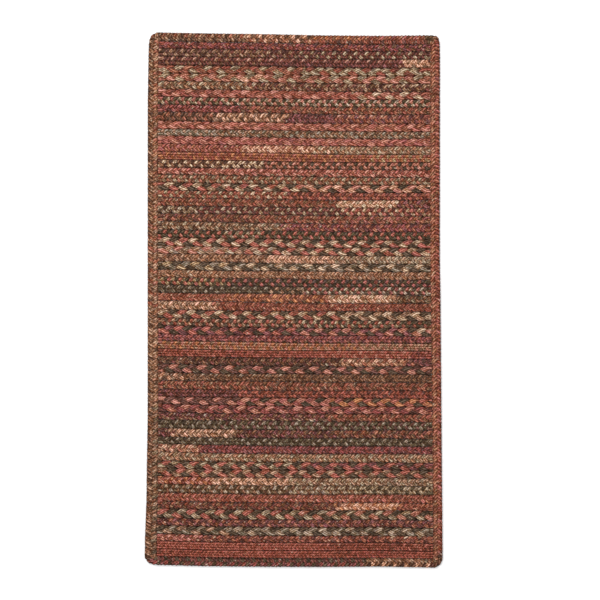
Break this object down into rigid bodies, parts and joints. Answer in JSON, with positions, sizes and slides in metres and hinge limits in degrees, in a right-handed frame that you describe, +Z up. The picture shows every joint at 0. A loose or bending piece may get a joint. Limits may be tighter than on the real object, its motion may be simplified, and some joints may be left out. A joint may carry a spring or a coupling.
{
  "type": "braided rug",
  "caption": "Flat rectangular rug of straight yarn braids in warm reds, browns, sage and charcoal, sewn edge to edge inside one border braid with rounded corners.",
  "frame": {"origin": "on the floor under the middle of the rug's overall box", "axes": "+Y along the rug's length, towards braid_01; +X across it, along the braids, to the right as the rug is seen from above; +Z up, out of the face"},
  "size_m": [0.6832, 1.2268, 0.0095],
  "materials": {
    "border_yarn": "matte heather yarn braid, rust brown running through tan, peach and plum",
    "plum_yarn": "matte heather yarn braid, plum with magenta flecks",
    "green_yarn": "matte yarn braid, dark green with sage and cream points",
    "maroon_yarn": "matte heather yarn braid, maroon with pink points",
    "rust_yarn": "matte heather yarn braid, brick and rust",
    "sage_yarn": "matte heather yarn braid, sage and tan",
    "coral_yarn": "matte yarn braid, coral and salmon",
    "brown_yarn": "matte heather yarn braid, brown and orange brown",
    "charcoal_yarn": "matte yarn braid, charcoal with coral and cream"
  },
  "bodies": {
    "root": {"border_braid": "border_yarn", "braid_01": "plum_yarn", "braid_02": "green_yarn", "braid_03": "maroon_yarn", "braid_04_05": "rust_yarn", "braid_06": "sage_yarn", "braid_07": "coral_yarn", "braid_08": "green_yarn", "braid_09": "plum_yarn", "braid_10": "sage_yarn", "braid_11": "coral_yarn", "braid_12": "sage_yarn", "braid_13": "coral_yarn", "braid_14": "plum_yarn", "braid_15": "coral_yarn", "braid_16": "green_yarn", "braid_17": "rust_yarn", "braid_18": "sage_yarn", "braid_19": "coral_yarn", "braid_20": "rust_yarn", "braid_21": "rust_yarn", "braid_22": "maroon_yarn", "braid_23": "maroon_yarn", "braid_24": "brown_yarn", "braid_25": "green_yarn", "braid_26_27": "charcoal_yarn", "braid_28": "brown_yarn", "braid_29": "green_yarn", "braid_30": "brown_yarn", "braid_31_32": "charcoal_yarn", "braid_33": "rust_yarn", "braid_34": "rust_yarn", "braid_35": "charcoal_yarn", "braid_36": "coral_yarn", "braid_37": "charcoal_yarn", "braid_38": "plum_yarn", "braid_39_40": "coral_yarn", "braid_41": "brown_yarn", "braid_42": "charcoal_yarn", "braid_43": "brown_yarn", "braid_44": "rust_yarn", "braid_45": "maroon_yarn", "braid_46_47": "coral_yarn", "braid_48": "maroon_yarn", "braid_49": "green_yarn", "braid_50": "maroon_yarn", "braid_51": "green_yarn", "braid_52": "plum_yarn", "braid_53": "sage_yarn", "braid_54_55": "charcoal_yarn", "braid_56": "brown_yarn", "braid_57": "green_yarn", "braid_58": "rust_yarn", "braid_59": "maroon_yarn", "braid_60": "charcoal_yarn", "braid_61": "maroon_yarn", "braid_62": "charcoal_yarn", "braid_63": "maroon_yarn", "braid_64_65": "coral_yarn"}
  },
  "joints": []
}
